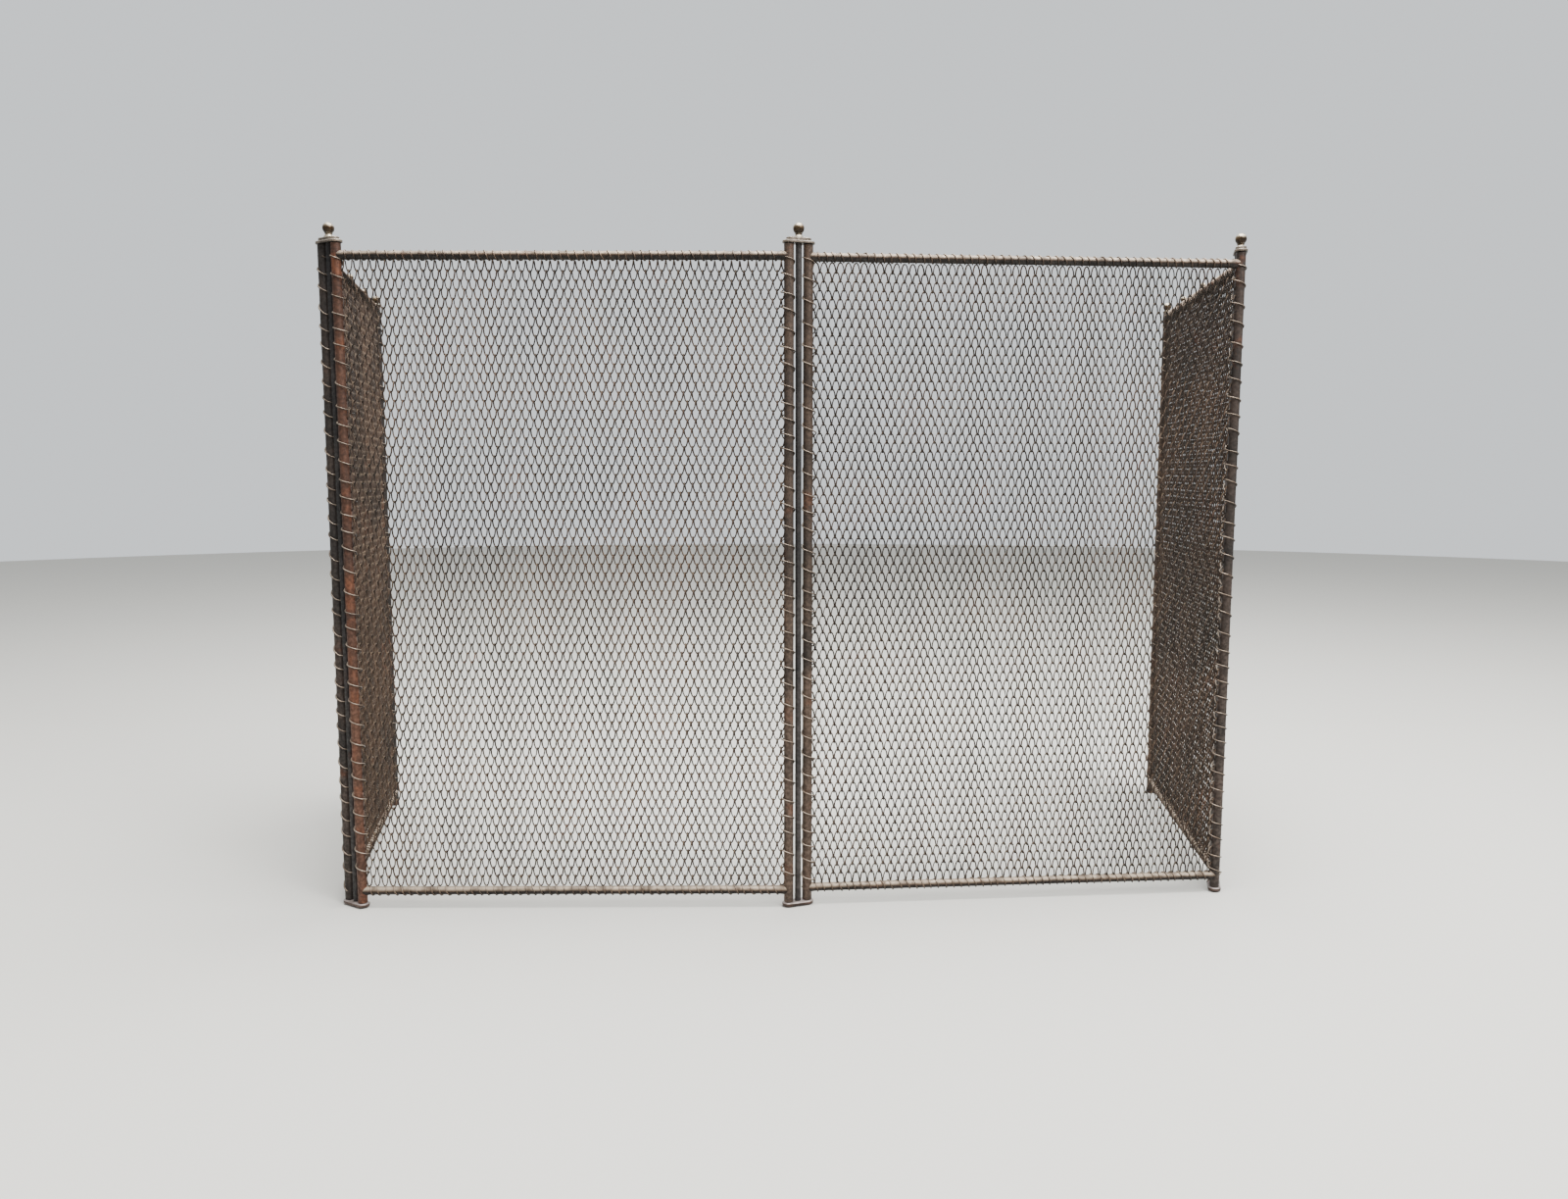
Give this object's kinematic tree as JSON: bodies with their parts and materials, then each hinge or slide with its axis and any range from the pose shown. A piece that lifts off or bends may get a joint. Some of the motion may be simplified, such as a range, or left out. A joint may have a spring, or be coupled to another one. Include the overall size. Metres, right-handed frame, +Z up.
{
  "type": "folding fireplace screen",
  "caption": "Folding fireplace screen of woven wire panels in round iron frames, hung on double-pin links with ball finials.",
  "frame": {"origin": "on the floor, under the middle of the standing screen's bounding box", "axes": "+X along the front panels towards the right as seen from the front, +Y from the front towards the fireplace, +Z up"},
  "size_m": [1.1956, 0.4896, 0.7792],
  "materials": {
    "iron_post": "aged dark brown iron with reddish rust bloom",
    "iron_rail": "aged brown iron, worn lighter along the top",
    "mesh_wire": "oxidised woven iron wire, dark brown",
    "lacing_wire": "oxidised iron binding wire, paler where rubbed",
    "link_cap": "bronzed iron, rubbed edges",
    "foot_cap": "bare worn iron with rust",
    "tie_rod": "blackened iron rod",
    "pivot_pin": "plain turned steel",
    "finial_brass": "tarnished brass, brown below and rubbed on top"
  },
  "bodies": {
    "front_left_panel": {"front_left_outer_post": "iron_post", "front_left_inner_post": "iron_post", "front_left_top_rail": "iron_rail", "front_left_bottom_rail": "iron_rail", "front_left_mesh": "mesh_wire", "front_left_outer_lacing": "lacing_wire", "front_left_inner_lacing": "lacing_wire"},
    "centre_link": {"centre_link_top_cap": "link_cap", "centre_link_foot_cap": "foot_cap", "centre_link_tie_rod": "tie_rod", "centre_link_finial": "finial_brass", "centre_link_upper_pins": "pivot_pin", "centre_link_lower_pins": "pivot_pin"},
    "front_right_panel": {"front_right_outer_post": "iron_post", "front_right_inner_post": "iron_post", "front_right_top_rail": "iron_rail", "front_right_bottom_rail": "iron_rail", "front_right_mesh": "mesh_wire", "front_right_outer_lacing": "lacing_wire", "front_right_inner_lacing": "lacing_wire"},
    "right_link": {"right_link_top_cap": "link_cap", "right_link_foot_cap": "foot_cap", "right_link_tie_rod": "tie_rod", "right_link_finial": "finial_brass", "right_link_upper_pins": "pivot_pin", "right_link_lower_pins": "pivot_pin"},
    "right_side_panel": {"right_side_front_post": "iron_post", "right_side_rear_post": "iron_post", "right_side_top_rail": "iron_rail", "right_side_bottom_rail": "iron_rail", "right_side_mesh": "mesh_wire", "right_side_front_lacing": "lacing_wire", "right_side_rear_lacing": "lacing_wire", "right_side_end_finial": "finial_brass", "right_side_rail_knobs": "finial_brass"},
    "left_link": {"left_link_top_cap": "link_cap", "left_link_foot_cap": "foot_cap", "left_link_tie_rod": "tie_rod", "left_link_finial": "finial_brass", "left_link_upper_pins": "pivot_pin", "left_link_lower_pins": "pivot_pin"},
    "left_side_panel": {"left_side_front_post": "iron_post", "left_side_rear_post": "iron_post", "left_side_top_rail": "iron_rail", "left_side_bottom_rail": "iron_rail", "left_side_mesh": "mesh_wire", "left_side_front_lacing": "lacing_wire", "left_side_rear_lacing": "lacing_wire", "left_side_end_finial": "finial_brass", "left_side_rail_knobs": "finial_brass"}
  },
  "joints": [
    {"name": "centre_left_hinge", "type": "hinge", "parent": "front_left_panel", "child": "centre_link", "pos_m": [0.00873, -0.23724, 0.38], "axis": [0, 0, 1], "range_deg": [-110, 70]},
    {"name": "centre_right_hinge", "type": "hinge", "parent": "centre_link", "child": "front_right_panel", "pos_m": [0.03034, -0.22937, 0.38], "axis": [0, 0, 1], "range_deg": [-74.3, 105.7]},
    {"name": "right_front_hinge", "type": "hinge", "parent": "front_right_panel", "child": "right_link", "pos_m": [0.52694, -0.19203, 0.38], "axis": [0, 0, -1], "range_deg": [-22.7, 157.3]},
    {"name": "right_side_hinge", "type": "hinge", "parent": "right_link", "child": "right_side_panel", "pos_m": [0.5342, -0.1702, 0.38], "axis": [0, 0, -1], "range_deg": [-79.5, 100.5]},
    {"name": "left_front_hinge", "type": "hinge", "parent": "front_left_panel", "child": "left_link", "pos_m": [-0.48927, -0.23724, 0.38], "axis": [0, 0, 1], "range_deg": [-57.6, 122.4]},
    {"name": "left_side_hinge", "type": "hinge", "parent": "left_link", "child": "left_side_panel", "pos_m": [-0.50869, -0.22491, 0.38], "axis": [0, 0, 1], "range_deg": [-43.9, 136.1]}
  ]
}
